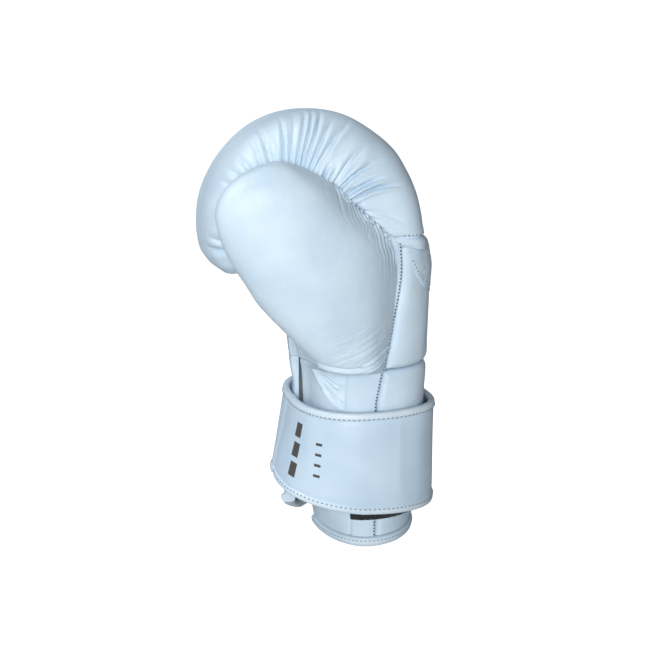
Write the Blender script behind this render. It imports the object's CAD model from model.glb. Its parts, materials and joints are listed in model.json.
"""Boxing glove for the right hand, in pale blue-white leather, standing on its cuff.

The shapes are worked out in millimetres round the wrist axis, with the palm facing -X, the thumb -Y and the
knuckles +Z, and are then moved into the frame in metres.
"""
import json
import math

import bpy
import numpy as np
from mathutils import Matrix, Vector
from mathutils.bvhtree import BVHTree


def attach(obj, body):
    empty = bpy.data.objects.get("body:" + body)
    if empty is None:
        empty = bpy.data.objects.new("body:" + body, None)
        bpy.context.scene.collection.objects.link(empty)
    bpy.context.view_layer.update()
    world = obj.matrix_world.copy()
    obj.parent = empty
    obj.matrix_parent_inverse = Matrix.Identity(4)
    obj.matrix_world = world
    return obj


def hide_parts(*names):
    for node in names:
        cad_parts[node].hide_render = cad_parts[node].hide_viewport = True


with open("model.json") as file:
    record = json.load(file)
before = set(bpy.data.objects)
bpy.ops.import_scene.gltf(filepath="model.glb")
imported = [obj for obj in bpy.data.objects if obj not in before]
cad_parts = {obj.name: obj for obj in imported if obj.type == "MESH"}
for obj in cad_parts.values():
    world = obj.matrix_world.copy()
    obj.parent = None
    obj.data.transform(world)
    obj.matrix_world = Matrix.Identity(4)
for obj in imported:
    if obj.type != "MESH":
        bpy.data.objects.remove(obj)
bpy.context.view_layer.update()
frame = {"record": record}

MM = 0.001

# Driving sizes, in millimetres
CUFF_HEIGHT = 128.0
HAND_HEIGHT = 84.0
CURL_HEIGHT = 91.0
BODY_DEPTH = 100.0
BODY_WIDTH = 120.0
FIST_DEPTH = 156.0
FIST_WIDTH = 136.0
PALM_REACH = 111.0
PALM_WALL = 8.0
SIDE_WALL = 8.0
BACK_PADDING = 22.0
KNUCKLE_PADDING = 51.0
THUMB_HEIGHT = 143.0
THUMB_DEPTH = 124.0
THUMB_STAND_OUT = 46.0
THUMB_HOLLOW_DEPTH = 40.0
THUMB_HOLLOW_WIDTH = 26.0
SLIT_GAP = 5.5
SLIT_RISE = 26.0
TAPE_HEIGHT = 7.0
TAPE_OVERLAP = 1.5
FLAP_LIFT = 16.0
FLAP_RUN = 42.0
STRAP_WIDTH = 73.0
STRAP_THICKNESS = 3.5
STRAP_TOP = 101.0
STRAP_DEPTH = 121.0
STRAP_SPAN = 126.0
STRAP_PALM_SHARE = 0.372
STRAP_START = 122.0
STRAP_END = 398.0
MARK_TURN = 204.5
BINDING_WIDTH = 5.5
BINDING_THICKNESS = 5.0
PATCH_THICKNESS = 2.4
PATCH_DROP = 10.0
CLEARANCE = 0.3
SEAM_ROOM = 0.15

HEM_LEVEL = CUFF_HEIGHT + HAND_HEIGHT
ROOF_LEVEL = HEM_LEVEL + CURL_HEIGHT - KNUCKLE_PADDING
FIST_BACK = FIST_DEPTH - PALM_REACH
CURL_SQUARE = 3.3
CURL_WIDEST = 0.22
THUMB_SQUARE = 2.15
THUMB_FULLNESS = {"palm": 0.465, "seam": 0.9}
PANEL_CORE = 30.0

# The wrist axis: the rim's mount lies on the tape, this far from it towards the thumb
RIM_TO_AXIS = 49.5
RIM = [m for m in frame["record"]["mounts"] if m["name"] == "rim"][0]["pos_m"]
AXIS = np.array([RIM[0] / MM, RIM[1] / MM + RIM_TO_AXIS, 0.0])


def table(columns, *rows):
    """Named columns of a table of sections."""
    return dict(zip(columns.split(), np.array(rows, float).T))


def mix(a, b, t):
    return a + (b - a) * t


def smooth(t):
    t = np.clip(t, 0, 1)
    return t * t * (3 - 2 * t)


def power(value, exponent):
    return np.sign(value) * np.abs(value) ** exponent


def hump(distance, width):
    return np.exp(-((distance / width) ** 2))


def read(rows, at, column):
    """Smooth reading of a table at a place in its first column, Catmull-Rom through its rows."""
    keys, values = next(iter(rows.values())), rows[column]
    at = np.clip(at, keys[0], keys[-1])
    i = np.clip(np.searchsorted(keys, at, side="right") - 1, 0, len(keys) - 2)
    before, after = np.maximum(i - 1, 0), np.minimum(i + 2, len(keys) - 1)
    span = keys[i + 1] - keys[i]
    slope_here = (values[i + 1] - values[before]) / (keys[i + 1] - keys[before]) * span
    slope_next = (values[after] - values[i]) / (keys[after] - keys[i]) * span
    t = (at - keys[i]) / span
    bend = 2 * t**3 - 3 * t**2
    ends = values[i] * (1 + bend) - values[i + 1] * bend
    return ends + slope_here * (t**3 - 2 * t**2 + t) + slope_next * (t**3 - t**2)


def read_all(rows, at):
    """Every column of a table but its first, read at a place in that one."""
    return {name: read(rows, at, name) for name in list(rows)[1:]}


def noise(points, size, seed):
    """Smooth value noise between -1 and 1 over 3-D points, size millimetres to a cell."""
    p = np.asarray(points, float) / np.asarray(size, float)
    cell = np.floor(p).astype(np.int64)
    t = smooth(p - cell)
    total = np.zeros(p.shape[:-1])
    for corner in np.ndindex(2, 2, 2):
        key = (cell + corner) @ np.array([73856093, 19349663, 83492791]) + seed * 2654435761
        key = (key ^ (key >> 13)) * 1274126177 & 0x7FFFFFFF
        value = (key ^ (key >> 16)) % 65536 / 32768.0 - 1
        weight = np.prod(np.where(np.array(corner), t, 1 - t), axis=-1)
        total += weight * value
    return total


def creases(points, size, seed):
    """Thin branching ridges between 0 and 1 over 3-D points."""
    return (1 - np.abs(noise(points, size, seed))) ** 3


# Section tables. Every share is of the named size that it follows.
# up is in storeys: 0 to 1 the cuff, 1 to 2 the hand, 2 to 3 the curl.
BODY = table(
    "up thumb_palm finger_palm back half padding square",
    (0.000, 0.305, 0.520, 0.400, 0.440, 0.45, 2.0),
    (0.188, 0.340, 0.520, 0.435, 0.453, 0.55, 2.2),
    (0.469, 0.370, 0.480, 0.465, 0.456, 0.62, 2.4),
    (0.797, 0.370, 0.440, 0.480, 0.460, 0.70, 2.5),
    (0.938, 0.380, 0.462, 0.490, 0.468, 0.75, 2.5),
    (1.179, 0.440, 0.486, 0.490, 0.490, 0.95, 2.6),
    (1.452, 0.520, 0.530, 0.490, 0.510, 1.00, 2.6),
    (1.726, 0.620, 0.620, 0.485, 0.530, 1.00, 2.6),
    (2.000, 0.700, 0.700, 0.470, 0.540, 1.00, 2.5),
    (2.250, 0.710, 0.710, 0.430, 0.530, 1.00, 2.5),
    (2.500, 0.640, 0.640, 0.360, 0.500, 1.00, 2.4),
)
SEAM = table(
    "up along",
    (0.000, 0.035),
    (0.469, 0.030),
    (0.797, 0.030),
    (0.938, 0.058),
    (1.014, 0.072),
    (1.233, 0.108),
    (1.507, 0.146),
    (1.781, 0.176),
    (2.000, 0.170),
    (2.400, 0.130),
)
CURL = table(
    "at out_x out_z in_x in_z half",
    (0.00, 0.020, -0.030, 0.200, 0.030, 0.452),
    (0.04, 0.026, 0.020, 0.220, 0.050, 0.462),
    (0.10, 0.038, 0.130, 0.255, 0.085, 0.475),
    (0.18, 0.050, 0.275, 0.300, 0.140, 0.487),
    (0.25, 0.072, 0.420, 0.345, 0.195, 0.494),
    (0.32, 0.114, 0.575, 0.385, 0.245, 0.498),
    (0.39, 0.176, 0.730, 0.410, 0.292, 0.500),
    (0.46, 0.275, 0.868, 0.460, 0.308, 0.500),
    (0.53, 0.380, 0.962, 0.510, 0.312, 0.500),
    (0.59, 0.495, 1.000, 0.555, 0.305, 0.500),
    (0.65, 0.610, 0.983, 0.600, 0.285, 0.500),
    (0.71, 0.716, 0.918, 0.640, 0.252, 0.498),
    (0.76, 0.812, 0.808, 0.676, 0.205, 0.494),
    (0.81, 0.893, 0.662, 0.706, 0.150, 0.487),
    (0.86, 0.953, 0.490, 0.730, 0.085, 0.480),
    (0.90, 0.988, 0.320, 0.748, 0.020, 0.470),
    (0.93, 1.000, 0.145, 0.762, -0.045, 0.458),
    (0.96, 0.996, 0.008, 0.776, -0.078, 0.440),
    (0.98, 0.978, -0.096, 0.800, -0.118, 0.412),
    (1.00, 0.922, -0.172, 0.842, -0.152, 0.350),
)
THUMB = table(
    "up palm_edge seam_edge out_palm out_seam thick",
    (0.000, 0.225, 0.069, 0.01, -0.04, 0.15),
    (0.029, 0.285, 0.073, 0.03, -0.03, 0.30),
    (0.134, 0.405, 0.086, 0.13, -0.03, 0.40),
    (0.261, 0.545, 0.111, 0.23, -0.04, 0.48),
    (0.377, 0.660, 0.132, 0.33, -0.05, 0.53),
    (0.472, 0.728, 0.142, 0.40, -0.04, 0.57),
    (0.557, 0.790, 0.137, 0.45, -0.04, 0.59),
    (0.641, 0.838, 0.115, 0.49, -0.02, 0.59),
    (0.725, 0.868, 0.005, 0.51, 0.07, 0.58),
    (0.810, 0.868, -0.130, 0.52, 0.16, 0.56),
    (0.894, 0.815, -0.240, 0.52, 0.25, 0.49),
    (0.952, 0.730, -0.370, 0.50, 0.34, 0.37),
    (0.984, 0.650, -0.455, 0.48, 0.40, 0.24),
    (1.000, 0.580, -0.520, 0.46, 0.44, 0.08),
)
THUMB_HOLLOW = table(
    "up middle out deep wide",
    (0.071, -0.140, -0.33, 0.25, 0.30),
    (0.155, -0.145, -0.20, 0.36, 0.48),
    (0.261, -0.205, -0.02, 0.33, 0.54),
    (0.398, -0.325, 0.24, 0.46, 0.48),
    (0.546, -0.440, 0.48, 0.49, 0.42),
    (0.683, -0.510, 0.57, 0.48, 0.42),
    (0.810, -0.550, 0.58, 0.40, 0.36),
    (0.873, -0.560, 0.58, 0.20, 0.18),
)
STRAP = table(
    "turn tuck drop lean",
    (122, 1.00, 0.84, -0.04),
    (150, 0.55, 0.82, 0.05),
    (180, 0.10, 0.82, 0.112),
    (215, 0.00, 0.90, 0.085),
    (270, 0.00, 1.00, 0.00),
    (315, 0.00, 1.04, 0.00),
    (360, 0.05, 1.04, 0.00),
    (398, 0.60, 1.02, 0.00),
)

# Folds of the knuckle pad on the thumb side. A fold runs out from its seam: start and finish are its places
# along the curl at its inner and outer end, inner and outer how far out from the hand those ends lie,
# deep and wide are in millimetres.
FOLDS = table(
    "start inner finish outer deep wide",
    (0.300, 0.04, 0.160, 0.36, 0.7, 3.0),
    (0.345, 0.05, 0.190, 0.44, 1.0, 3.2),
    (0.443, 0.06, 0.323, 0.66, 2.6, 2.0),
    (0.470, 0.08, 0.385, 0.55, 2.2, 2.0),
    (0.497, 0.10, 0.420, 0.36, 0.9, 2.0),
    (0.527, 0.12, 0.425, 0.66, 2.5, 2.1),
    (0.527, 0.20, 0.480, 0.72, 2.0, 3.6),
    (0.545, 0.20, 0.503, 0.62, 1.7, 2.6),
    (0.566, 0.25, 0.540, 0.46, 1.2, 1.8),
    (0.593, 0.26, 0.572, 0.46, 2.8, 1.7),
    (0.606, 0.34, 0.560, 0.80, 0.8, 2.2),
    (0.623, 0.38, 0.535, 0.90, 1.2, 1.8),
    (0.638, 0.40, 0.575, 0.88, 1.3, 1.7),
    (0.655, 0.42, 0.594, 0.96, 1.5, 1.6),
    (0.666, 0.44, 0.612, 0.97, 1.7, 1.5),
    (0.683, 0.46, 0.625, 1.00, 1.3, 1.6),
    (0.702, 0.48, 0.655, 0.98, 0.8, 2.2),
    (0.720, 0.50, 0.686, 0.98, 1.6, 1.6),
    (0.738, 0.54, 0.728, 0.86, 1.1, 1.5),
    (0.748, 0.56, 0.734, 1.00, 1.5, 1.7),
    (0.768, 0.60, 0.757, 0.98, 1.3, 1.8),
    (0.787, 0.62, 0.796, 0.97, 1.3, 1.9),
    (0.810, 0.66, 0.825, 0.95, 1.0, 1.9),
    (0.832, 0.68, 0.850, 0.94, 1.0, 1.7),
    (0.872, 0.68, 0.890, 0.90, 0.5, 2.5),
    (0.930, 0.66, 0.938, 0.93, 1.6, 2.2),
    (0.946, 0.66, 0.956, 0.95, 1.8, 2.2),
)


def level_at(up):
    """Height of a place counted in storeys."""
    if up <= 1:
        return up * CUFF_HEIGHT
    if up <= 2:
        return CUFF_HEIGHT + (up - 1) * HAND_HEIGHT
    return HEM_LEVEL + (up - 2) * CURL_HEIGHT


def storey_at(z):
    z = np.asarray(z, float)
    hand = 1 + (z - CUFF_HEIGHT) / HAND_HEIGHT
    curl = 2 + (z - HEM_LEVEL) / CURL_HEIGHT
    return np.where(z <= CUFF_HEIGHT, z / CUFF_HEIGHT, np.where(z <= HEM_LEVEL, hand, curl))


def body_ring(z, grow=0.0):
    """Section of the glove's body at height z."""
    share = read_all(BODY, storey_at(z))
    ring = {name: share[name] * BODY_DEPTH + grow for name in ("thumb_palm", "finger_palm", "back")}
    ring.update(axis=0.0, half=share["half"] * BODY_WIDTH + grow, square=share["square"])
    ring["padding"] = share["padding"]
    return ring


ROOF_AXIS = -0.34 * BODY_DEPTH
ROOF_NARROW = 0.45
TIP_RADIUS = 0.5


def hollow_ring(z):
    """Section of the hollow for the hand, which closes in a round roof under the knuckles."""
    level = min(z, HEM_LEVEL)
    ring = body_ring(level)
    ring["thumb_palm"] = ring["thumb_palm"] - PALM_WALL
    ring["finger_palm"] = ring["finger_palm"] - PALM_WALL
    ring["back"] = ring["back"] - ring["padding"] * BACK_PADDING
    ring["half"] = ring["half"] - SIDE_WALL
    if z <= HEM_LEVEL:
        return ring
    rise = min(1, (z - HEM_LEVEL) / (ROOF_LEVEL - HEM_LEVEL))
    is_open = math.sqrt(1 - rise**2)
    palm_edge = mix(ROOF_AXIS, -ring["thumb_palm"], math.sqrt(1 - rise**4))
    back_edge = mix(ROOF_AXIS, ring["back"], is_open)
    balance = mix(ring["thumb_palm"] / (ring["thumb_palm"] + ring["back"]), 0.5, rise)
    ring["axis"] = mix(palm_edge, back_edge, balance)
    ring["thumb_palm"] = ring["finger_palm"] = ring["axis"] - palm_edge + TIP_RADIUS
    ring["back"] = back_edge - ring["axis"] + TIP_RADIUS
    ring["half"] = ring["half"] * mix(ROOF_NARROW, 1, is_open)
    return ring


def ring_point(ring, angle, z):
    across, side = np.cos(angle), np.sin(angle)
    palm = np.where(side < 0, ring["thumb_palm"], ring["finger_palm"])
    x = ring["axis"] + power(across, 2 / ring["square"]) * np.where(across > 0, ring["back"], palm)
    y = power(side, 2 / ring["square"]) * ring["half"]
    return np.stack(np.broadcast_arrays(x, y, z), -1)


def angle_at_x(ring, along, side):
    """Angle at which a ring passes a distance along X, on the thumb side (-1) or the finger side (1)."""
    palm = ring["thumb_palm"] if side < 0 else ring["finger_palm"]
    reach = np.where(along > 0, ring["back"], palm)
    share = np.minimum(0.999, np.abs(along) / reach)
    return side * np.arccos(np.sign(along) * share ** (ring["square"] / 2))


def angle_at_slit(ring, offset):
    share = abs(offset) / ring["half"]
    return math.pi - math.copysign(1, offset) * np.arcsin(share ** (ring["square"] / 2))


def seam_angle(z, side, offset=0.0):
    along = read(SEAM, storey_at(z), "along") * BODY_DEPTH + offset
    return angle_at_x(body_ring(z), along, side)


# Meshes
def faces_of(rows, columns, wrap):
    """Quads over a grid of points, joined round its columns where wrap is set."""
    r, c = np.meshgrid(np.arange(rows - 1), np.arange(columns if wrap else columns - 1), indexing="ij")
    nxt = (c + 1) % columns
    here, below = r * columns, (r + 1) * columns
    return np.stack([here + c, here + nxt, below + nxt, below + c], -1).reshape(-1, 4)


def normals_of(grid, wrap):
    """Unit normals of a grid of points."""
    down = np.gradient(grid, axis=0)
    if wrap:
        across = (np.roll(grid, -1, axis=1) - np.roll(grid, 1, axis=1)) / 2
    else:
        across = np.gradient(grid, axis=1)
    n = np.cross(down, across)
    return n / np.maximum(np.linalg.norm(n, axis=-1, keepdims=True), 1e-9)


def outward(grid, wrap, middle):
    """Unit normals of a grid that point away from middle."""
    n = normals_of(grid, wrap)
    away = np.einsum("...i,...i", n, grid - middle)
    return n * (1 if np.median(away) > 0 else -1)


def volume_of(points, quads):
    a, b, c, d = (points[quads[:, i]] for i in range(4))
    return (np.einsum("ij,ij->i", a, np.cross(b, c)) + np.einsum("ij,ij->i", a, np.cross(c, d))).sum() / 6


def turned_out(points, faces):
    """Faces in the order that makes a closed skin look outwards."""
    return faces[:, ::-1] if volume_of(points, faces) < 0 else faces


def mesh_of(name, points, faces, material=None):
    """A mesh object from points in millimetres round the wrist axis."""
    mesh = bpy.data.meshes.new(name)
    placed = (np.asarray(points, float) + AXIS) * MM
    mesh.from_pydata(placed.tolist(), [], [list(f) for f in faces])
    mesh.validate()
    mesh.update()
    obj = bpy.data.objects.new(name, mesh)
    bpy.context.scene.collection.objects.link(obj)
    if material:
        mesh.materials.append(material)
    return obj


def ribbed(name, rings, material=None):
    """Closed skin over rings of points, with a fan at each end."""
    rings = np.asarray(rings)
    rows, columns = rings.shape[:2]
    points = rings.reshape(-1, 3)
    quads = faces_of(rows, columns, True)
    turn = -1 if volume_of(points, quads) < 0 else 1
    low, high = len(points), len(points) + 1
    points = np.vstack([points, rings[0].mean(0), rings[-1].mean(0)])
    i = np.arange(columns)
    nxt = (i + 1) % columns
    top = (rows - 1) * columns
    foot = np.stack([np.full(columns, low), nxt, i], -1)
    head = np.stack([np.full(columns, high), top + i, top + nxt], -1)
    faces = [face for group in (quads, foot, head) for face in group[:, ::turn]]
    return mesh_of(name, points, faces, material)


def slab(name, outer, inner, material=None):
    """Closed skin over an outer and an inner sheet of the same grid."""
    rows, columns = outer.shape[:2]
    size = rows * columns
    points = np.vstack([outer.reshape(-1, 3), inner.reshape(-1, 3)])
    top = faces_of(rows, columns, False)
    rim = list(range(columns)) + [r * columns + columns - 1 for r in range(1, rows)]
    rim += [size - 1 - c for c in range(1, columns)] + [r * columns for r in range(rows - 2, 0, -1)]
    rim = np.array(rim)
    after = np.roll(rim, -1)
    sides = np.stack([after, rim, rim + size, after + size], -1)
    faces = np.vstack([top, top[:, ::-1] + size, sides])
    return mesh_of(name, points, turned_out(points, faces), material)


def cut(piece, *tools):
    """Takes the tools' volume out of a piece."""
    for tool in tools:
        change = piece.modifiers.new("cut", "BOOLEAN")
        change.operation = "DIFFERENCE"
        change.solver = "MANIFOLD"
        change.object = tool
    made = bpy.data.meshes.new_from_object(piece.evaluated_get(bpy.context.evaluated_depsgraph_get()))
    piece.modifiers.clear()
    old = piece.data
    piece.data = made
    bpy.data.meshes.remove(old)


SHARP_EDGE = math.radians(50)


def finish_piece(piece, node=None):
    """Smooths a piece's shading, says what it stands for and lets it ride on the glove."""
    mesh = piece.data
    mesh.polygons.foreach_set("use_smooth", [True] * len(mesh.polygons))
    mesh.set_sharp_from_angle(angle=SHARP_EDGE)
    if node:
        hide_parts(node)
    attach(piece, "root")


def tree_of(piece):
    """Search tree of a piece, in metres."""
    mesh = piece.data
    return BVHTree.FromPolygons([v.co for v in mesh.vertices], [p.vertices for p in mesh.polygons])


DEEPEST_OVERLAP = 5.0


def gap_to(tree, points):
    """Distance of each point to a piece, in millimetres, negative a little way inside it."""
    gaps = np.empty(len(points))
    for i, point in enumerate((points + AXIS) * MM):
        near, normal, _, distance = tree.find_nearest(point)
        inside = distance < DEEPEST_OVERLAP * MM and (Vector(point) - near).dot(normal) < 0
        gaps[i] = -distance if inside else distance
    return gaps / MM


# Materials
def linear(hex_colour):
    """sRGB hex to linear RGBA."""
    parts = [int(hex_colour[i:i + 2], 16) / 255 for i in (1, 3, 5)]
    return [c / 12.92 if c <= 0.04045 else ((c + 0.055) / 1.055) ** 2.4 for c in parts] + [1.0]


def add_node(tree, kind, inputs=None, **settings):
    """Adds a node. inputs holds numbers, colours or the sockets that feed it."""
    node = tree.nodes.new(kind)
    for name, value in settings.items():
        setattr(node, name, value)
    for key, value in (inputs or {}).items():
        if isinstance(value, bpy.types.NodeSocket):
            tree.links.new(value, node.inputs[key])
        else:
            node.inputs[key].default_value = value
    return node


def new_material(name):
    """A material, its node tree, its shader and the place on the object."""
    material = bpy.data.materials.new(name)
    material.use_nodes = True
    tree = material.node_tree
    place = add_node(tree, "ShaderNodeTexCoord").outputs["Object"]
    return material, tree, tree.nodes["Principled BSDF"], place


def mottle_of(tree, place, per_metre, detail):
    """Soft noise with so many patches to the metre."""
    inputs = {"Vector": place, "Scale": per_metre, "Detail": detail}
    return add_node(tree, "ShaderNodeTexNoise", inputs).outputs["Fac"]


def ranged(tree, value, source=(0.0, 1.0), result=(0.0, 1.0)):
    """A value taken from one range into another."""
    inputs = dict(zip(("From Min", "From Max", "To Min", "To Max"), source + result))
    return add_node(tree, "ShaderNodeMapRange", {"Value": value, **inputs}).outputs["Result"]


def bumped(tree, height, strength, lift_mm, **inputs):
    """Normals of a surface with this relief."""
    inputs.update(Height=height, Strength=strength, Distance=lift_mm * MM)
    return add_node(tree, "ShaderNodeBump", inputs).outputs["Normal"]


def two_colours(tree, share, first, second):
    colour = add_node(tree, "ShaderNodeMix", {"Factor": share}, data_type="RGBA")
    colour.inputs[6].default_value = linear(first)
    colour.inputs[7].default_value = linear(second)
    return colour.outputs[2]


# Breadth of the patches in which the dye is thicker and the finish duller, and roughness of the clear finish
DYE_PATCH = 38
WEAR_PATCH = 7
FINISH_ROUGHNESS = 0.4


def grained_leather(name, base, shade, pebble_mm, pebble_lift, roughness, coat):
    """Cowhide with a printed grain, which breaks up its shine, under a thin clear finish."""
    material, tree, shader, place = new_material(name)
    per_metre = 1 / (pebble_mm * MM)
    inputs = {"Vector": place, "Scale": per_metre, "Randomness": 1.0}
    pebbles = add_node(tree, "ShaderNodeTexVoronoi", inputs, feature="SMOOTH_F1").outputs["Distance"]
    pores = mottle_of(tree, place, per_metre * 2.5, 3.0)
    dye = ranged(tree, mottle_of(tree, place, 1 / (DYE_PATCH * MM), 4.0), (0.35, 0.7))
    wear = mottle_of(tree, place, 1 / (WEAR_PATCH * MM), 3.0)
    gloss = ranged(tree, wear, (0.3, 0.7), (roughness - 0.06, roughness + 0.07))
    grain = bumped(tree, pebbles, 0.35, pebble_lift)
    fine = bumped(tree, pores, 0.3, 0.5 * pebble_lift, Normal=grain)
    tree.links.new(two_colours(tree, dye, base, shade), shader.inputs["Base Color"])
    tree.links.new(gloss, shader.inputs["Roughness"])
    tree.links.new(fine, shader.inputs["Normal"])
    shader.inputs["IOR"].default_value = 1.5
    shader.inputs["Coat Weight"].default_value = coat
    shader.inputs["Coat Roughness"].default_value = FINISH_ROUGHNESS
    shader.inputs["Sheen Weight"].default_value = 0.0
    return material


def sewing_thread(name, colour):
    """Bonded nylon thread, twisted from three strands, so it shines along its length."""
    material, tree, shader, place = new_material(name)
    strands = bumped(tree, mottle_of(tree, place, 1 / (0.4 * MM), 2.0), 0.4, 0.1)
    tree.links.new(strands, shader.inputs["Normal"])
    shader.inputs["Base Color"].default_value = linear(colour)
    shader.inputs["Roughness"].default_value = 0.5
    return material


def loop_pile(name):
    """Black nylon loops of a hook-and-loop fastener: matt, with a dull sheen and a rough pile."""
    material, tree, shader, place = new_material(name)
    inputs = {"Vector": place, "Scale": 1 / (0.9 * MM)}
    pile = add_node(tree, "ShaderNodeTexVoronoi", inputs).outputs["Distance"]
    colour = two_colours(tree, ranged(tree, pile, (0.0, 0.8)), "#26292d", "#0a0b0d")
    tree.links.new(colour, shader.inputs["Base Color"])
    tree.links.new(bumped(tree, pile, 0.9, 0.6), shader.inputs["Normal"])
    shader.inputs["Roughness"].default_value = 0.95
    shader.inputs["Sheen Weight"].default_value = 0.3
    return material


def plain_paint(name, colour, roughness):
    """A flat coat, such as studio paper or stamped ink, with a faint mottle."""
    material, tree, shader, place = new_material(name)
    mottle = mottle_of(tree, place, 1 / (3 * MM), 2.0)
    spread = ranged(tree, mottle, result=(roughness - 0.05, roughness + 0.05))
    tree.links.new(spread, shader.inputs["Roughness"])
    shader.inputs["Base Color"].default_value = linear(colour)
    return material


def lit_paper(name):
    """White paper on a light table, so that hardly any shadow shows on it."""
    material = plain_paint(name, "#bcbcbc", 0.9)
    tree = material.node_tree
    shader = tree.nodes["Principled BSDF"]
    camera_ray = add_node(tree, "ShaderNodeLightPath").outputs["Is Camera Ray"]
    tree.links.new(camera_ray, shader.inputs["Emission Strength"])
    shader.inputs["Emission Color"].default_value = (1.0, 1.0, 1.0, 1.0)
    return material


PAD_LEATHER = grained_leather("full_grain_leather", "#d0e2ef", "#c0d5e5", 1.1, 0.16, 0.50, 0.03)
STRAP_LEATHER = grained_leather("smooth_strap_leather", "#c8dcec", "#bbd1e3", 0.9, 0.09, 0.45, 0.05)
TAPE_LEATHER = grained_leather("folded_leather_tape", "#d6e5ef", "#c6d8e5", 0.8, 0.10, 0.50, 0.02)
THREAD = sewing_thread("bonded_nylon_thread", "#dfe9f0")
NEEDLE_HOLE = plain_paint("needle_hole_shadow", "#46535f", 0.9)
STITCH_DENT = plain_paint("stitch_dent_shadow", "#8b9eac", 0.9)
PILE = loop_pile("hook_and_loop_pile")
INK = plain_paint("stamped_grey_ink", "#4d4a48", 0.55)


# Solids that are cut out of the pads
def hand_hollow():
    turns = np.linspace(0, 2 * math.pi, 96, endpoint=False) + 0.01
    levels = list(np.linspace(level_at(-0.05), HEM_LEVEL, 60))
    levels += [mix(HEM_LEVEL, ROOF_LEVEL, math.sin(t)) for t in np.linspace(0.05, 1.52, 18)]
    return ribbed("hand_hollow", [ring_point(hollow_ring(z), turns, z) for z in levels])


def thumb_hollow():
    turns = np.linspace(0, 2 * math.pi, 48, endpoint=False)
    rings = []
    for up in np.linspace(THUMB_HOLLOW["up"][0], THUMB_HOLLOW["up"][-1], 24):
        share = read_all(THUMB_HOLLOW, up)
        deep, wide = share["deep"] * THUMB_HOLLOW_DEPTH, share["wide"] * THUMB_HOLLOW_WIDTH
        x = share["middle"] * THUMB_DEPTH + deep * np.cos(turns)
        y = -BODY_WIDTH / 2 - share["out"] * THUMB_STAND_OUT + wide * np.sin(turns)
        z = np.full_like(x, CUFF_HEIGHT + up * THUMB_HEIGHT)
        rings.append(np.stack([x, y, z], -1))
    return ribbed("thumb_hollow", rings)


def prism(name, outline, ends):
    """A solid with one outline, in Y and Z, between two distances along X."""
    return ribbed(name, [[(x, y, z) for y, z in outline] for x in ends])


def slit_wedge():
    half, low, shoulder = SLIT_GAP / 2, CUFF_HEIGHT - 1, CUFF_HEIGHT + 0.8 * SLIT_RISE
    outline = [(-half, low), (half, low), (half, shoulder), (0, CUFF_HEIGHT + SLIT_RISE), (-half, shoulder)]
    return prism("slit", outline, (-BODY_DEPTH, -0.05 * BODY_DEPTH))


# Where the far flap of the slit is thinned, along X and Y and from which level
FLAP_ROOM_X = (-41.0, -5.0)
FLAP_ROOM_Y = (-2.0, 24.0)
FLAP_ROOM_FOOT = 84.0


def flap_room():
    """Thins the far flap of the slit from inside, so that it stands free of the near one."""
    (near, far), low, high = FLAP_ROOM_Y, FLAP_ROOM_FOOT, CUFF_HEIGHT + SLIT_RISE - 2
    return prism("flap_room", [(near, low), (far, low), (far, high), (near, high)], FLAP_ROOM_X)


# The knuckle pad
def curl_grid(at, angle):
    share = read_all(CURL, at)
    out_x, in_x = (FIST_BACK - share[name] * FIST_DEPTH for name in ("out_x", "in_x"))
    out_z, in_z = (HEM_LEVEL + share[name] * CURL_HEIGHT for name in ("out_z", "in_z"))
    side, lift = power(np.cos(angle), 2 / CURL_SQUARE), power(np.sin(angle), 2 / CURL_SQUARE)
    radial = CURL_WIDEST + lift * np.where(lift > 0, 1 - CURL_WIDEST, CURL_WIDEST)
    y = side * share["half"] * FIST_WIDTH
    return np.stack([mix(in_x, out_x, radial), y, mix(in_z, out_z, radial)], -1), side, radial


# Length of the knuckle pad's side along its inner and its outer line, and from one to the other
CURL_INNER_RUN = 170.0
CURL_OUTER_RUN = 420.0
CURL_REACH = 70.0


def crowded_turns(count, square, high, crowd):
    """Angles round a section, even along it but closer together where crowd asks for it."""
    dense = np.linspace(0, 2 * math.pi, 4001)
    side, lift = power(np.cos(dense), 2 / square), power(np.sin(dense), 2 / square)
    step = np.hypot(np.diff(side), high * np.diff(lift)) * crowd(side, lift)[1:]
    run = np.concatenate([[0], np.cumsum(step)])
    return np.interp((np.arange(count) + 0.25) / count * run[-1], run, dense)


def fold_relief(at, radial, rows):
    """Depth of the folds in millimetres: each is a creased valley between two soft shoulders."""
    run = mix(CURL_INNER_RUN, CURL_OUTER_RUN, np.clip(radial, 0, 1))
    depth = np.zeros_like(at)
    for start, inner, finish, outer, deep, wide in zip(*rows.values()):
        t = (radial - inner) / (outer - inner)
        line = mix(start, finish, np.clip(t, -0.3, 1.3))
        slope = (finish - start) * run / ((outer - inner) * CURL_REACH)
        away = np.abs(at - line) * run / np.hypot(1, slope)
        reach = smooth((t + 0.25) / 0.3) * smooth((1.15 - t) / 0.6)
        valley = 0.5 * hump(away, wide) + 0.5 * hump(away, 0.45 * wide)
        depth += deep * reach * (valley - 0.35 * hump(away - 2.1 * wide, 1.1 * wide))
    return depth


def far_side_folds():
    """Folds of the little finger side, which the photo doesn't show: even gathers along its seam."""
    rng = np.random.default_rng(7)
    rows = []
    for start in np.linspace(0.20, 0.93, 26):
        shift = rng.uniform(-0.008, 0.008)
        lean = mix(-0.09, 0.02, start)
        outer, deep, wide = rng.uniform(0.55, 0.95), rng.uniform(0.6, 1.9), rng.uniform(1.6, 2.8)
        rows.append((start + shift, 0.08, start + shift + lean, outer, deep, wide))
    return table("start inner finish outer deep wide", *rows)


HEM_STITCH = HEM_LEVEL + 8.0


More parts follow.
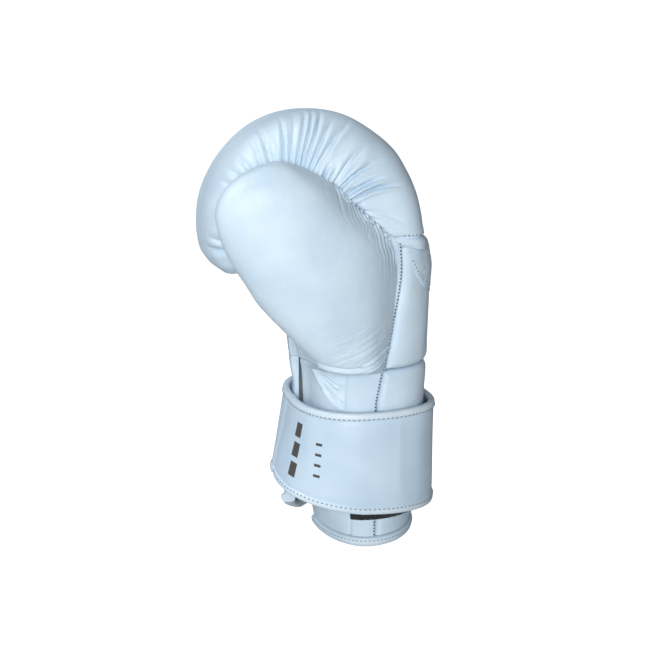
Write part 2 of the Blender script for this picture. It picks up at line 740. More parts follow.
def hem_relief(points, at):
    """The turned hem on the back: a soft roll below its line of stitches."""
    back = smooth((0.20 - at) / 0.05)
    line = points[..., 2] - HEM_STITCH
    return back * (1.3 * hump(line, 0.9) - 0.9 * hump(line + 4.5, 2.6) - 0.35 * hump(line - 3.5, 2.2))


CURL_STATIONS = 360
CURL_TURNS = 236


def curl_crowd(side, lift):
    """The grid is finest beside the thumb, where the deepest folds are."""
    return 1 + 2.6 * smooth((-side - 0.6) / 0.3)


def knuckle_curl(grow=0.0):
    at = np.linspace(0, 1, CURL_STATIONS)[:, None]
    angle = crowded_turns(CURL_TURNS, CURL_SQUARE, 0.65, curl_crowd)[None, :]
    at, angle = np.broadcast_arrays(at, angle)
    points, side, radial = curl_grid(at, angle)
    n = outward(points, True, points.mean(axis=1, keepdims=True))
    near_thumb = smooth((-side - 0.30) / 0.35)
    near_finger = smooth((side - 0.30) / 0.35)
    depth = 1.25 * near_thumb * fold_relief(at, radial, FOLDS)
    depth += near_finger * fold_relief(at, radial, far_side_folds())
    depth += hem_relief(points, at)
    depth += 0.35 * noise(points, 24, 3) + 0.12 * noise(points, 7, 4) * smooth(np.abs(side) - 0.3)
    return points - n * (depth - grow)[..., None]


# The thumb
def thumb_grid(up, angle):
    share = read_all(THUMB, up)
    towards = power(np.cos(angle), 2 / THUMB_SQUARE)
    fullness = mix(THUMB_FULLNESS["palm"], THUMB_FULLNESS["seam"], smooth(towards))
    outer_rise = np.maximum(0, 1 - towards**2) ** fullness
    rise = np.where(angle < math.pi, outer_rise, power(np.sin(angle), 2 / THUMB_SQUARE))
    x = mix(-share["palm_edge"], share["seam_edge"], 0.5 + 0.5 * towards) * THUMB_DEPTH
    out = mix(share["out_palm"], share["out_seam"], 0.5 + 0.5 * towards)
    out = out + share["thick"] * rise
    z = CUFF_HEIGHT + CLEARANCE / 2 + up * THUMB_HEIGHT
    return np.stack(np.broadcast_arrays(x, -BODY_WIDTH / 2 - out * THUMB_STAND_OUT, z), -1)


# Direction of the gathered seam between thumb and knuckle pad, seen from the thumb side, and its two ends
GATHER_ALONG = np.array([0.76, 0.0, -0.65])
GATHER_FROM = float(np.dot(GATHER_ALONG, (-49.0, 0, 265.0)))
GATHER_TO = float(np.dot(GATHER_ALONG, (13.0, 0, 216.0)))
GATHER_PITCH = 3.1
DRAG_ALONG = np.array([0.91, 0.0, 0.42])
DRAG_ACROSS = np.array([-0.42, 0.0, 0.91])
FOOT_LEVEL = CUFF_HEIGHT + 7.0
FOOT_MIDDLE = -20.0

# Creases that rise towards the hand seam at the thumb's foot: x, z, length and depth of each
FOOT_CREASES = ((-18, 128.5, 24, 0.9), (-17, 135.5, 28, 0.6), (-6, 146.5, 18, 0.4))


def gathers_of(points, to_curl):
    """Upright pleats of the thumb, which hang from its seam with the knuckle pad and grow towards the hem."""
    share = np.clip((points @ GATHER_ALONG - GATHER_FROM) / (GATHER_TO - GATHER_FROM), -0.2, 1.4)
    inner = np.clip(share, 0, 1)
    reach = mix(4.2, 5.6, inner) * (1 + 0.7 * noise(points, (GATHER_PITCH, 60, 90), 16))
    wander = 2.2 * noise(points, (6, 30, 7), 11)
    phase = (points[..., 0] + 0.15 * (points[..., 2] - 217) + wander) / GATHER_PITCH
    valley = (0.5 + 0.5 * np.cos(2 * math.pi * phase)) ** 1.6
    strength = mix(3.6, 4.2, inner) * smooth((share - 0.08) / 0.18) * smooth((1.4 - share) / 0.15)
    each = 0.8 + 0.6 * noise(points, (GATHER_PITCH, 40, 60), 12)
    below = np.clip(to_curl - 2.0, 0, None)
    return strength * each * valley * np.exp(-((below / (1.5 * reach)) ** 1.5))


def foot_folds(points):
    """Two doubled folds where the thumb's leather turns in over the cuff, drawn together at the hand seam."""
    x, z = points[..., 0], points[..., 2]
    rise = z - (FOOT_LEVEL + 0.009 * (x - FOOT_MIDDLE) ** 2)
    spread = mix(4.4, 2.0, smooth((x + 16) / 22))
    folds = 1.5 * hump(rise, 1.0) - 0.9 * hump(rise + 0.5 * spread, 1.2) + 1.3 * hump(rise + spread, 0.9)
    folds -= 0.4 * hump(rise + 1.45 * spread, 1.0)
    folds += 1.2 * smooth((-rise - spread) / 2.0)
    for start_x, start_z, length, deep in FOOT_CREASES:
        t = (x - start_x) / length
        line = z - start_z - 0.46 * (x - start_x) - 2.0 * t * (1 - t)
        crease = hump(line, 1.0) - 0.5 * hump(line + 2.3, 1.3)
        folds += deep * smooth((t + 0.1) / 0.3) * smooth((1.15 - t) / 0.2) * crease
    return folds


def thumb_relief(points, to_curl, to_back):
    """Folds of the thumb, in millimetres below its smooth form."""
    near = np.clip(to_curl, 0, None)
    tuck = 2.2 * np.exp(-near / 1.8) + 1.2 * np.exp(-np.clip(to_back, 0, None) / 2.0)
    welt = 0.5 * hump(near - 4.6, 0.9) - 0.55 * hump(near - 2.8, 1.0)
    turned = np.stack([points @ DRAG_ALONG, points @ DRAG_ACROSS, points[..., 1]], -1)
    drag_place = hump(points[..., 0] + 4, 26) * hump(points[..., 2] - 146, 18)
    drag = 0.75 * drag_place * creases(turned, (26.0, 2.4, 40.0), 13)
    uneven = 0.30 * noise(points, 26, 14) + 0.08 * noise(points, 4, 15)
    return gathers_of(points, to_curl) + tuck + welt + drag + foot_folds(points) + uneven


THUMB_TURNS = 270
THUMB_LEVELS = 300
FAR_AWAY = 99.0


def thumb_lobe(curl_tree, back_tree):
    up = (0.5 - 0.5 * np.cos(math.pi * np.linspace(0, 1, THUMB_LEVELS)))[:, None]
    up = mix(up, np.linspace(0, 1, THUMB_LEVELS)[:, None], 0.75)
    angle = crowded_turns(THUMB_TURNS, THUMB_SQUARE, 0.5, lambda side, lift: np.where(lift > 0, 6.0, 1.0))
    up, angle = np.broadcast_arrays(up, angle[None, :])
    points = thumb_grid(up, angle)
    n = outward(points, True, points.mean(axis=1, keepdims=True))
    outside = np.sin(angle) > -0.1
    by_curl = outside & (points[..., 2] > 170)
    by_back = outside & (points[..., 0] > 0) & (points[..., 2] < 225)
    to_curl, to_back = np.full(up.shape, FAR_AWAY), np.full(up.shape, FAR_AWAY)
    to_curl[by_curl] = gap_to(curl_tree, points[by_curl])
    to_back[by_back] = gap_to(back_tree, points[by_back])
    return points - n * thumb_relief(points, to_curl, to_back)[..., None]


# Padded panels of the body
SIDES = ("left", "right", "foot", "head")


def panel_steps(count):
    """Grid lines that crowd towards both edges, where a padded panel rounds over."""
    t = np.linspace(0, 1, count)
    return mix(t, 0.5 - 0.5 * np.cos(math.pi * t), 0.75)


def roll_over(distance, radius):
    """How far a padded edge has dropped at a distance from its seam."""
    t = 1 - np.clip(distance / radius, 0, 1)
    return radius * (1 - np.sqrt(np.maximum(0, 1 - t * t)))


def from_axis(sheet):
    """Unit normals of a sheet on the body, away from the wrist axis."""
    return outward(sheet, False, np.array([0.0, 0.0, sheet[..., 2].mean()]))


def body_panel(name, panel, material, relief, grow=0.0, count=(150, 120)):
    """One padded panel between two angles and two levels, down past the hollow for the hand."""
    u, v = np.meshgrid(panel_steps(count[0]), panel_steps(count[1]))
    margin = 2 * grow / BODY_WIDTH
    low, high = panel["low"](u) - grow, panel["high"](u) + grow
    z = mix(low, high, v)
    start, end = panel["from"](z) - margin, panel["to"](z) + margin
    angle = mix(start, end, u)
    flat = ring_point(body_ring(z), angle, z)
    wide = np.cumsum(np.linalg.norm(np.diff(flat, axis=1, prepend=flat[:, :1]), axis=-1), axis=1)
    tall = np.cumsum(np.linalg.norm(np.diff(flat, axis=0, prepend=flat[:1]), axis=-1), axis=0)
    sides = dict(zip(SIDES, (wide, wide[:, -1:] - wide, tall, tall[-1:] - tall)))
    drop = np.zeros_like(z)
    for side, radius in zip(SIDES, panel["rolls"]):
        drop = np.maximum(drop, panel["drop"].get(side, 1.0) * roll_over(sides[side], radius))
    swell = panel["swell"] * np.sin(math.pi * u) * np.sin(math.pi * v)
    lift = grow + swell - drop - relief(flat, sides)
    outer = flat + from_axis(flat) * lift[..., None]
    return slab(name, outer, ring_point(body_ring(z, -PANEL_CORE), angle, z), material)


def flap_rise(angle):
    """The corner of the flap on the little finger side of the slit is lifted off the ground."""
    turn = np.mod(angle, 2 * math.pi)
    return np.where(turn > math.pi, 0.0, FLAP_LIFT * smooth((np.degrees(turn) - 180 + FLAP_RUN) / FLAP_RUN))


PIPING_DROP = 0.48 * HAND_HEIGHT
PIPING_REACH = 0.94
ROLL_INSET = 0.5 - 0.5 * PIPING_REACH


def piping_at(u):
    from_middle = np.abs(2 * u - 1) / PIPING_REACH
    return HEM_LEVEL - PIPING_DROP * np.sqrt(np.maximum(0, 1 - from_middle**2))


def always(value):
    return lambda u: np.full_like(np.asarray(u, float), value)


def across_back(u):
    return lambda z: mix(thumb_seam(z), finger_seam(z), u)


def thumb_seam(z):
    return seam_angle(z, -1)


def finger_seam(z):
    return seam_angle(z, 1)


def palm_start(z):
    return seam_angle(z, 1, -CLEARANCE)


def palm_end(z):
    return seam_angle(z, -1, -CLEARANCE) + 2 * math.pi


def near_slit(z):
    return angle_at_slit(body_ring(z), -SLIT_GAP / 2)


def far_slit(z):
    return angle_at_slit(body_ring(z), SLIT_GAP / 2)


def panel_of(low, high, start, end, rolls, drop=None, swell=0.0):
    """How a padded panel lies: its edges, how far each rounds over and drops, and how far it swells."""
    relief = {"rolls": rolls, "drop": drop or {}, "swell": swell}
    return {"low": low, "high": high, "from": start, "to": end, **relief}


def cuff_side(start, end, rolls):
    """A side of the cuff between two angles, with its foot on the tape even where that is lifted."""
    def low(u):
        level = np.zeros_like(u)
        return TAPE_HEIGHT + CLEARANCE + flap_rise(mix(start(level), end(level), u))
    return panel_of(low, CUFF_HEAD, start, end, rolls)


CUFF_FOOT, CUFF_HEAD = always(TAPE_HEIGHT + CLEARANCE), always(CUFF_HEIGHT - CLEARANCE)
WRIST = panel_of(CUFF_FOOT, CUFF_HEAD, thumb_seam, finger_seam, (5.0, 5.0, 1.5, 5.0))
ROLL = panel_of(
    lambda u: piping_at(mix(ROLL_INSET, 1 - ROLL_INSET, u)), always(level_at(2.06)),
    across_back(ROLL_INSET), across_back(1 - ROLL_INSET), (4.0, 4.0, 4.0, 4.0), swell=2.5,
)
BACK = panel_of(
    always(CUFF_HEIGHT), always(level_at(2.02)), thumb_seam, finger_seam, (9.0, 9.0, 6.0, 3.0),
    drop={"left": 0.55, "right": 0.55},
)
PALM = panel_of(always(CUFF_HEIGHT), always(level_at(2.32)), palm_start, palm_end, (3.0, 2.0, 1.5, 1.5))
THUMB_CUFF = cuff_side(near_slit, palm_end, (2.0, 2.5, 1.0, 2.0))
FINGER_CUFF = cuff_side(palm_start, far_slit, (2.5, 2.0, 1.0, 2.0))


def back_relief(points, sides):
    """Drag lines of the back pad, which run down from its seam, and its broad unevenness."""
    drag = 0.25 * noise(points, (12, 5.0, 26.0), 22)
    return 0.30 * noise(points, 22, 21) + drag * smooth(sides["left"] / 12)


def roll_relief(points, sides):
    """Small cross wrinkles of the roll under the hem."""
    return 0.5 * creases(points, (14, 14.0, 3.0), 31) + 0.2 * noise(points, 9, 32)


def wrist_relief(points, sides):
    """Slanting creases on the back of the cuff."""
    x, y, z = points[..., 0], points[..., 1], points[..., 2]
    slanting = creases(np.stack([x, y, z - 0.45 * y], -1), (40, 40.0, 7.0), 41)
    return 0.45 * slanting * smooth(sides["head"] / 6) + 0.25 * noise(points, 20, 42)


SLIT_DISH = -2.5
PATCH_EDGE = -14.5


def side_relief(points, sides):
    """Uneven leather, the near edge of the slit pressed in, and the seam beside the loop fastener's edge."""
    x, y, z = points[..., 0], points[..., 1], points[..., 2]
    beside = smooth((y + 17) / 15) * smooth((2.7 - y) / 5.4) * smooth((-20 - x) / 5)
    dish = SLIT_DISH * beside * smooth((z - 80) / 14) * smooth((160 - z) / 16)
    seam = 0.9 * hump(x - PATCH_EDGE, 0.9) * smooth((34 - z) / 8) * (y < 0)
    return dish + seam + 0.25 * noise(points, 18, 51) + 0.10 * noise(points, 6, 52)


# The tape round the rim
TAPE_STEPS = 26
TAPE_SQUARE = 0.55


def tape_loop(turns):
    """Points of the tape: for each turn a rounded fold over the wall, from inside to outside."""
    rings = []
    for turn in turns:
        ring = []
        for k in range(TAPE_STEPS):
            a = 2 * math.pi * k / TAPE_STEPS
            out, lift = (0.5 + 0.5 * power(f(a), TAPE_SQUARE) for f in (math.cos, math.sin))
            level = lift * TAPE_HEIGHT
            angle = mix(near_slit(level), far_slit(level) + 2 * math.pi, turn)
            z = level + float(flap_rise(angle))
            outer = ring_point(body_ring(z, TAPE_OVERLAP + 0.4 * math.sin(math.pi * lift)), angle, z)
            inner = ring_point(hollow_ring(z), angle, z)
            ring.append(inner + (outer - inner) * out)
        rings.append(ring)
    return np.array(rings)


# The strap
STRAP_RUN = 300.0
STRAP_CORNER = 7.0
STRAP_SETTLE = 0.06
STRAP_AXIS = -0.045
STRAP_SQUARE = 2.4
BINDING_BULGE = 0.5 * (BINDING_THICKNESS - STRAP_THICKNESS)
END_INSET = math.degrees(BINDING_WIDTH / (0.5 * STRAP_DEPTH))


def strap_point(turn, down, lift):
    """A place on the strap: turn in degrees, down a share of its width, lift above its inner face."""
    turn, down = np.broadcast_arrays(np.asarray(turn, float), np.asarray(down, float))
    angle = np.radians(turn)
    share = read_all(STRAP, turn)
    settle = -STRAP_SETTLE * STRAP_WIDTH * smooth((turn - 290) / 90)
    z = STRAP_TOP + settle - down * STRAP_WIDTH * share["drop"]
    palm = STRAP_PALM_SHARE * STRAP_DEPTH + share["lean"] * STRAP_DEPTH * down - STRAP_THICKNESS
    loose = {
        "axis": STRAP_AXIS * BODY_DEPTH, "thumb_palm": palm, "finger_palm": palm, "square": STRAP_SQUARE,
        "back": 0.5 * STRAP_DEPTH - STRAP_THICKNESS, "half": 0.5 * STRAP_SPAN - STRAP_THICKNESS,
    }
    seated = body_ring(z, PATCH_THICKNESS + BINDING_BULGE + 4 * CLEARANCE)
    point = mix(ring_point(loose, angle, z), ring_point(seated, angle, z), share["tuck"][..., None])
    away = np.stack([np.cos(angle) / STRAP_DEPTH, np.sin(angle) / STRAP_SPAN, np.zeros_like(angle)], -1)
    away /= np.linalg.norm(away, axis=-1, keepdims=True)
    return point + away * np.asarray(lift, float)[..., None]


def strap_face_lift(turn, down):
    """How high the strap's outer face lies, with its soft dents and the step beside its tape."""
    flat = strap_point(turn, down, np.zeros_like(turn))
    upright = 0.9 * np.abs(noise(flat / [1, 1, 5.0], 13, 62)) * smooth((turn - 190) / 20)
    step = 0.35 * hump(np.abs(down - 0.5) - 0.415, 0.02)
    return STRAP_THICKNESS - 0.6 * noise(flat / [1, 1, 2.5], 17, 61) - upright - step


def strap_band():
    """The strap's leather, which reaches a little way under its tape."""
    under = 0.4
    inset = (BINDING_WIDTH - under) / STRAP_WIDTH
    gap = END_INSET * (1 - under / BINDING_WIDTH)
    u = np.linspace(STRAP_START + gap, STRAP_END - gap, 260)
    u, v = np.meshgrid(u, np.linspace(inset, 1 - inset, 60))
    outer = strap_point(u, v, strap_face_lift(u, v))
    return slab("strap_band", outer, strap_point(u, v, np.zeros_like(u)), STRAP_LEATHER)


def strap_edge_path(count=420):
    """The strap's outline: shares of its length and width along all four edges, with round corners."""
    quarter = 0.5 * math.pi * STRAP_CORNER
    straights = [STRAP_RUN - 2 * STRAP_CORNER, STRAP_WIDTH - 2 * STRAP_CORNER] * 2
    total = sum(straights) + 4 * quarter
    places = []
    for k in range(count):
        run = total * k / count
        for side, straight in enumerate(straights):
            if run <= straight + quarter:
                break
            run -= straight + quarter
        heading = 0.5 * math.pi * side
        short = max(0.0, straight - run)
        turned = heading + max(0.0, run - straight) / STRAP_CORNER
        x = STRAP_RUN - STRAP_CORNER if side < 2 else STRAP_CORNER
        y = STRAP_WIDTH - STRAP_CORNER if side in (1, 2) else STRAP_CORNER
        x += STRAP_CORNER * math.sin(turned) - short * math.cos(heading)
        y -= STRAP_CORNER * math.cos(turned) + short * math.sin(heading)
        places.append((x / STRAP_RUN, y / STRAP_WIDTH))
    return np.array(places)


def strap_inset(places, inset_mm):
    """Moves places on the strap's outline inwards by millimetres, as turn and down."""
    x, y = places[:, 0] * STRAP_RUN, places[:, 1] * STRAP_WIDTH
    tx = np.roll(x, -1) - np.roll(x, 1)
    ty = np.roll(y, -1) - np.roll(y, 1)
    length = np.hypot(tx, ty)
    x, y = x - ty / length * inset_mm, y + tx / length * inset_mm
    return mix(STRAP_START, STRAP_END, x / STRAP_RUN), y / STRAP_WIDTH


def strap_binding():
    places = strap_edge_path()
    rings = []
    count = 18
    for k in range(count):
        a = 2 * math.pi * k / count
        inset = BINDING_WIDTH * (0.5 - 0.5 * power(math.cos(a), 0.7))
        lift = STRAP_THICKNESS / 2 + (STRAP_THICKNESS / 2 + BINDING_BULGE) * power(math.sin(a), 0.7)
        turn, down = strap_inset(places, inset)
        rings.append(strap_point(turn, down, np.full_like(turn, lift)))
    grid = np.stack(rings, 1)
    rows, columns = grid.shape[:2]
    quads = faces_of(rows + 1, columns, True) % (rows * columns)
    points = grid.reshape(-1, 3)
    return mesh_of("strap_edge_tape", points, turned_out(points, quads), TAPE_LEATHER)


# The loop patch and the gusset lie on the cuff, this far above its leather
ON_CUFF = 2 * CLEARANCE
PATCH_TURNS = (-112, 72)
PATCH_REACH = 1.08


def loop_patch():
    levels = np.linspace(STRAP_TOP - PATCH_REACH * STRAP_WIDTH, STRAP_TOP - PATCH_DROP, 60)
    z, turn = np.meshgrid(levels, np.radians(np.linspace(*PATCH_TURNS, 180)), indexing="ij")
    flat = ring_point(body_ring(z), turn, z)
    n = from_axis(flat)
    lift = ON_CUFF + PATCH_THICKNESS + 0.25 * noise(flat, 1.6, 71)
    return slab("loop_fastener", flat + n * lift[..., None], flat + n * ON_CUFF, PILE)


# Edges of the gusset towards the palm and the back, at its foot and head, as shares of the body's depth
GUSSET_PALM_EDGE = (-0.205, -0.37)
GUSSET_BACK_EDGE = (-0.185, -0.18)
GUSSET_BEND = 0.62
GUSSET_SWELL = 1.7
GUSSET_THINNEST = 0.25


def thumb_gusset():
    """Folded crescent of leather where the thumb runs into the cuff."""
    u, v = np.meshgrid(np.linspace(0, 1, 70), np.linspace(0, 1, 60))
    z = mix(STRAP_TOP + ON_CUFF, CUFF_HEIGHT - ON_CUFF, v)
    palm_edge, back_edge = mix(*GUSSET_PALM_EDGE, v**GUSSET_BEND), mix(*GUSSET_BACK_EDGE, v)
    ring = body_ring(z)
    flat = ring_point(ring, angle_at_x(ring, mix(palm_edge, back_edge, u) * BODY_DEPTH, -1), z)
    n = from_axis(flat)
    welt = 1.5 * hump(u - 0.10, 0.07) - 0.3 * hump(u - 0.24, 0.06)
    inside = smooth((u - 0.2) / 0.15) * smooth((1.0 - u) / 0.15)
    folds = 1.9 * inside * hump(v - 0.66 + 0.42 * (u - 0.35) - 0.08 * np.sin(9 * u), 0.045)
    folds += 1.3 * inside * hump(v - 0.80 + 0.46 * (u - 0.35), 0.035)
    folds += 0.7 * hump(v - 0.36 + 0.5 * (u - 0.4), 0.04)
    rumple = 0.6 * inside * noise(flat, (3.0, 60, 2.4), 81)
    lift = ON_CUFF + GUSSET_SWELL * smooth((1.02 - u) / 0.5) + welt + rumple - folds
    lift = np.maximum(lift, ON_CUFF + GUSSET_THINNEST)
    return slab("gusset_fold", flat + n * lift[..., None], flat + n * ON_CUFF, PAD_LEATHER)


# Stitches
def bead(steps=8):
    """Points and quads of a rounded thread from -0.5 to 0.5 along X, radius 1."""
    rows = []
    for t in np.linspace(0.04, 0.96, 7):
        radius = math.sqrt(max(0.0, 1 - (2 * t - 1) ** 4))
        turn = np.arange(steps) * 2 * math.pi / steps
        rows.append(np.stack([np.full(steps, t - 0.5), radius * np.cos(turn), radius * np.sin(turn)], -1))
    return np.array(rows).reshape(-1, 3), faces_of(len(rows), steps, True), len(rows), steps


def along_path(path, pitch):
    """Places at an even pitch along a path, with its directions."""
    path = np.asarray(path, float)
    step = np.linalg.norm(np.diff(path, axis=0), axis=1)
    run = np.concatenate([[0], np.cumsum(step)])
    count = max(2, int(run[-1] / pitch))
    at = (np.arange(count) + 0.5) * run[-1] / count

    def place_at(where):
        return np.stack([np.interp(where, run, path[:, i]) for i in range(3)], -1)

    direction = place_at(np.minimum(at + 0.5, run[-1])) - place_at(np.maximum(at - 0.5, 0))
    return place_at(at), direction / np.linalg.norm(direction, axis=1, keepdims=True)


def stitch_row(name, path, facing, pitch, material, length, radius, sink=0.0, slant=0.0):
    """A row of stitches or needle holes along a path on the leather. facing points out of the leather."""
    places, direction = along_path(path, pitch)
    picked = np.linspace(0, len(facing) - 1, len(places)).round().astype(int)
    unit, quads, rows, columns = bead()
    points, faces = [], []
    for place, forward, out in zip(places, direction, facing[picked]):
        out = out - forward * np.dot(out, forward)
        out = out / np.linalg.norm(out)
        forward = forward * math.cos(slant) + np.cross(forward, out) * math.sin(slant)
        cross = np.cross(forward, out)
        frame_of = np.stack([forward * length, cross * radius, out * radius])
        base = len(points) * len(unit)
        points.append(unit @ frame_of + place - out * sink)
        faces.append(quads + base)
        faces.append([base + np.arange(columns)])
        faces.append([base + (rows - 1) * columns + np.arange(columns)])
    flat = [list(f) for group in faces for f in group]
    return mesh_of(name, np.vstack(points), flat, material)


def on_leather(trees, start, direction):
    """Where a line from start meets the first of the pieces, with the way out of it, in millimetres."""
    best = None
    origin = Vector(((np.asarray(start, float) + AXIS) * MM).tolist())
    for tree in trees:
        hit, normal, _, distance = tree.ray_cast(origin, Vector(direction))
        if hit is not None and (best is None or distance < best[2]):
            best = (hit, normal, distance)
    if best is None:
        return None
    return np.array(best[0]) / MM - AXIS, np.array(best[1])


# Where the lines that look for the leather start, well outside the glove
RAY_START = 160.0

# Size of the threads and needle holes of the hand seams and of the topstitching
HAND_PITCH = 2.3
TAPE_PITCH = 3.0
SEAM_THREAD = {"length": 2.2, "radius": 0.34, "slant": 0.5}
SEAM_HOLE = {"length": 1.35, "radius": 0.68, "sink": 0.18, "slant": 0.35}
TOP_THREAD = {"length": 2.1, "radius": 0.34}
TOP_HOLE = {"length": 1.3, "radius": 0.55, "sink": 0.16, "slant": 0.3}
GATHER_HOLE = {"length": 1.2, "radius": 0.5, "sink": 0.16, "slant": 0.3}


def sew(name, on, starts, directions, pitch, thread, hole=None, material=THREAD):
    """Stitches, and needle holes where hole says how, where lines from starts meet the leather."""
    found = [on_leather(on, start, direction) for start, direction in zip(starts, directions)]
    found = [f for f in found if f is not None]
    path, facing = np.array([f[0] for f in found]), np.array([f[1] for f in found])
    finish_piece(stitch_row(name + "_stitches", path, facing, pitch, material, **thread))
    if hole:
        finish_piece(stitch_row(name + "_holes", path, facing, pitch, NEEDLE_HOLE, **hole))


def sew_round(name, piece, angles, levels, hole=TOP_HOLE, material=THREAD):
    """Topstitching where lines towards the wrist axis meet a piece, at these angles and levels."""
    starts = [(RAY_START * math.cos(a), RAY_START * math.sin(a), z) for a, z in zip(angles, levels)]
    directions = [(-math.cos(a), -math.sin(a), 0) for a in angles]
    sew(name, [tree_of(piece)], starts, directions, TAPE_PITCH, TOP_THREAD, hole, material)


def with_room(name, panel, relief, count=(150, 120)):
    """A padded panel, and the solid a little larger that is cut out of the pieces beside it."""
    piece = body_panel(name, panel, PAD_LEATHER, relief, count=count)
    return piece, body_panel(name + "_room", panel, None, relief, grow=SEAM_ROOM, count=count)


# Making the pieces
hollow = hand_hollow()
thumb_room = thumb_hollow()
slit = slit_wedge()
flap = flap_room()

curl = ribbed("padded_knuckles", knuckle_curl(), PAD_LEATHER)
curl_room = ribbed("knuckle_room", knuckle_curl(SEAM_ROOM))
back, back_room = with_room("padded_back", BACK, back_relief)
roll, roll_room = with_room("padded_roll", ROLL, roll_relief, (120, 90))
palm, palm_room = with_room("lined_palm", PALM, side_relief, (190, 120))
wrist, wrist_room = with_room("padded_wrist", WRIST, wrist_relief)
thumb = ribbed("padded_thumb", thumb_lobe(tree_of(curl), tree_of(back)), PAD_LEATHER)
tape = ribbed("rim_tape", tape_loop(np.linspace(0, 1, 300)), TAPE_LEATHER)
thumb_cuff = body_panel("cuff_by_thumb", THUMB_CUFF, PAD_LEATHER, side_relief, count=(100, 100))
finger_cuff = body_panel("cuff_by_finger", FINGER_CUFF, PAD_LEATHER, side_relief, count=(100, 100))

cut(curl, hollow)
cut(roll, hollow, curl_room)
cut(back, hollow, curl_room, roll_room)
cut(thumb, curl_room, palm_room, back_room, hollow, thumb_room)
cut(palm, hollow, curl_room, back_room, thumb_room, slit, flap)
cut(wrist, hollow)
cut(thumb_cuff, hollow, wrist_room, tape)
cut(finger_cuff, hollow, wrist_room, tape, flap)

band = strap_band()
edge_tape = strap_binding()
patch = loop_patch()
gusset = thumb_gusset()
for tool in (hollow, thumb_room, slit, flap, curl_room, back_room, roll_room, palm_room, wrist_room):
    bpy.data.objects.remove(tool, do_unlink=True)

pads = (
    (curl, "knuckle_pad", 0.95), (roll, "back_roll", 0.9), (back, "back_pad", 0.9), (thumb, "thumb_pad", 0.9),
    (palm, "palm_panel", 0.5), (wrist, "wrist_pad", 0.8), (thumb_cuff, "cuff_thumb_side", 0.5),
    (finger_cuff, "cuff_finger_side", 0.5),
)
for piece, node, fill in pads:
    finish_piece(piece, node)
finish_piece(gusset, "thumb_gusset")
finish_piece(patch, "loop_patch")
finish_piece(band, "strap")
finish_piece(edge_tape, "strap_binding")
finish_piece(tape, "cuff_binding")

# Rows of stitches along the hand seam: a thread that leans across it and a dark hole at its foot
trees = [tree_of(piece) for piece, _, _ in pads]
BESIDE_SEAM = -1.6
for name, side, low, high in (
    ("hand_thumb", -1, CUFF_HEIGHT + 1, HEM_LEVEL + 5),
    ("hand_finger", 1, CUFF_HEIGHT + 1, HEM_LEVEL - 4),
    ("cuff_thumb", -1, TAPE_HEIGHT + 1, CUFF_HEIGHT - 1),
    ("cuff_finger", 1, TAPE_HEIGHT + 1, CUFF_HEIGHT - 1),
):
    levels = np.linspace(low, high, 160)
    seam_x = read(SEAM, storey_at(levels), "along") * BODY_DEPTH
    starts = [(x + BESIDE_SEAM, side * RAY_START, z) for x, z in zip(seam_x, levels)]
    sew(name, trees, starts, [(0, -side, 0)] * len(starts), HAND_PITCH, SEAM_THREAD, SEAM_HOLE)

# Topstitching of the hem on the back, and of the piping under it
sew_round("hem", curl, np.radians(np.linspace(-76, 76, 160)), np.full(160, HEM_STITCH + 1.4))
piping_share = np.linspace(ROLL_INSET + 0.012, 1 - ROLL_INSET - 0.012, 220)
piping_levels = piping_at(piping_share) + 2.4
piping_angles = [float(across_back(u)(np.array(z))) for u, z in zip(piping_share, piping_levels)]
sew_round("piping", roll, piping_angles, piping_levels)

# Stitches of the gathered seam between thumb and knuckle pad, a little below its edge
GATHER_START = (-15.8, 234.0)
GATHER_END = (12.5, 219.4)
GATHER_BOW = 1.6
starts = []
for t in np.linspace(0, 1, 120):
    x, z = (mix(*ends, t) for ends in zip(GATHER_START, GATHER_END))
    starts.append((x, -RAY_START, z + GATHER_BOW * math.sin(math.pi * t)))
sew("gather", trees, starts, [(0, 1, 0)] * len(starts), TAPE_PITCH, TOP_THREAD, GATHER_HOLE)

# Topstitching of the strap's tape and of the tape round the rim
turn, down = strap_inset(strap_edge_path(700), BINDING_WIDTH - 1.3)
path = strap_point(turn, down, np.full_like(turn, STRAP_THICKNESS + 0.62))
outer_path = strap_point(turn, down, np.full_like(turn, 9.0))
finish_piece(stitch_row("strap_stitches", path, outer_path - path, 3.4, STITCH_DENT, 2.2, 0.46))
rim_angles = np.radians(np.linspace(-168, 166, 420))
sew_round("rim", tape, rim_angles, TAPE_HEIGHT - 1.9 + flap_rise(rim_angles), None, STITCH_DENT)


def printed_bar(name, turn_from, turn_to, down_from, down_to, skew=0.0):
    """A plain printed bar on the strap's face."""
    u, v = np.meshgrid(np.linspace(turn_from, turn_to, 24), np.linspace(down_from, down_to, 24))
    u = u + skew * (v - down_from) / (down_to - down_from)
    face = strap_face_lift(u, v)
    bar = slab(name, strap_point(u, v, face + 0.07), strap_point(u, v, face - 0.25), INK)
    finish_piece(bar)


# Plain marks: three bars over the palm end of the strap and a column of ticks beside them
BAR_END = MARK_TURN + 7.0
TICK_START = MARK_TURN + 23.0
TICK_END = MARK_TURN + 28.5
TICK_HEIGHT = 0.028
for number, (first, last) in enumerate(((0.20, 0.36), (0.42, 0.58), (0.64, 0.80))):
    printed_bar(f"printed_bar_{number}", MARK_TURN, BAR_END, first, last, skew=-1.0)
for number, at in enumerate((0.34, 0.45, 0.56, 0.67)):
    printed_bar(f"printed_tick_{number}", TICK_START, TICK_END, at, at + TICK_HEIGHT)

# Studio
FLOOR_REACH = 6000
corners = FLOOR_REACH * np.array([(-1, -1, 0), (1, -1, 0), (1, 1, 0), (-1, 1, 0)])
floor = mesh_of("studio_floor", corners, [[0, 1, 2, 3]], lit_paper("lit_studio_paper"))
floor.location.z = -0.0002


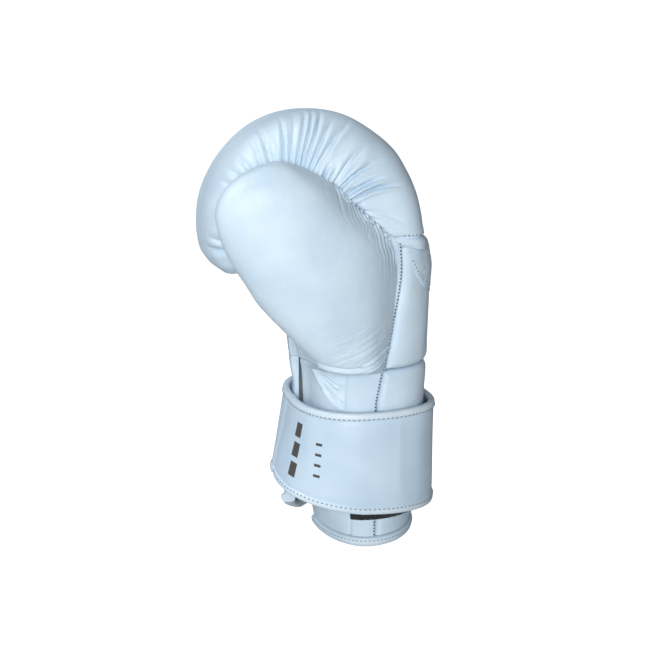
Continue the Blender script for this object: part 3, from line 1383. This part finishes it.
def softbox(name, place, aim, size, watts, colour):
    lamp = bpy.data.lights.new(name, "AREA")
    lamp.shape = "RECTANGLE"
    lamp.size, lamp.size_y = size
    lamp.energy = watts
    lamp.color = linear(colour)[:3]
    obj = bpy.data.objects.new(name, lamp)
    obj.location = place
    obj.rotation_euler = (Vector(aim) - Vector(place)).to_track_quat("-Z", "Y").to_euler()
    bpy.context.scene.collection.objects.link(obj)


CENTRE = (0.0, 0.0, 0.15)
softbox("key_softbox", (-0.38, -1.28, 0.42), CENTRE, (0.6, 0.6), 15.0, "#ffffff")
softbox("fill_softbox", (-0.75, 0.25, 1.10), CENTRE, (0.8, 0.8), 9.0, "#f4f9ff")

world = bpy.data.worlds.new("white_studio")
bpy.context.scene.world = world
world.use_nodes = True
backdrop = world.node_tree.nodes["Background"]
backdrop.inputs["Color"].default_value = (0.93, 0.97, 1.0, 1.0)
seen = add_node(world.node_tree, "ShaderNodeLightPath").outputs["Is Camera Ray"]
bright = add_node(world.node_tree, "ShaderNodeMapRange", {"Value": seen, "To Min": 0.19, "To Max": 1.15})
world.node_tree.links.new(bright.outputs["Result"], backdrop.inputs["Strength"])
bpy.context.scene.view_settings.view_transform = "Standard"

# Camera: it looks from the thumb side, a little towards the back of the hand and from above
TARGET = Vector((0.00512, 0.01755, 0.150))
CAMERA_AZIMUTH = math.radians(-12)
CAMERA_RISE = math.radians(12)
CAMERA_DISTANCE = 0.750
FOCAL_PIXELS = 1040.2
PHOTO_PIXELS = 650
SENSOR_WIDTH = 36.0
camera_data = bpy.data.cameras.new("camera")
camera_data.sensor_width = SENSOR_WIDTH
camera_data.lens = SENSOR_WIDTH * FOCAL_PIXELS / PHOTO_PIXELS
camera = bpy.data.objects.new("camera", camera_data)
level_share = math.cos(CAMERA_RISE)
back_way = Vector((
    math.sin(CAMERA_AZIMUTH) * level_share, -math.cos(CAMERA_AZIMUTH) * level_share, math.sin(CAMERA_RISE),
))
camera.location = TARGET + back_way * CAMERA_DISTANCE
camera.rotation_euler = (-back_way).to_track_quat("-Z", "Y").to_euler()
bpy.context.scene.collection.objects.link(camera)
bpy.context.scene.camera = camera
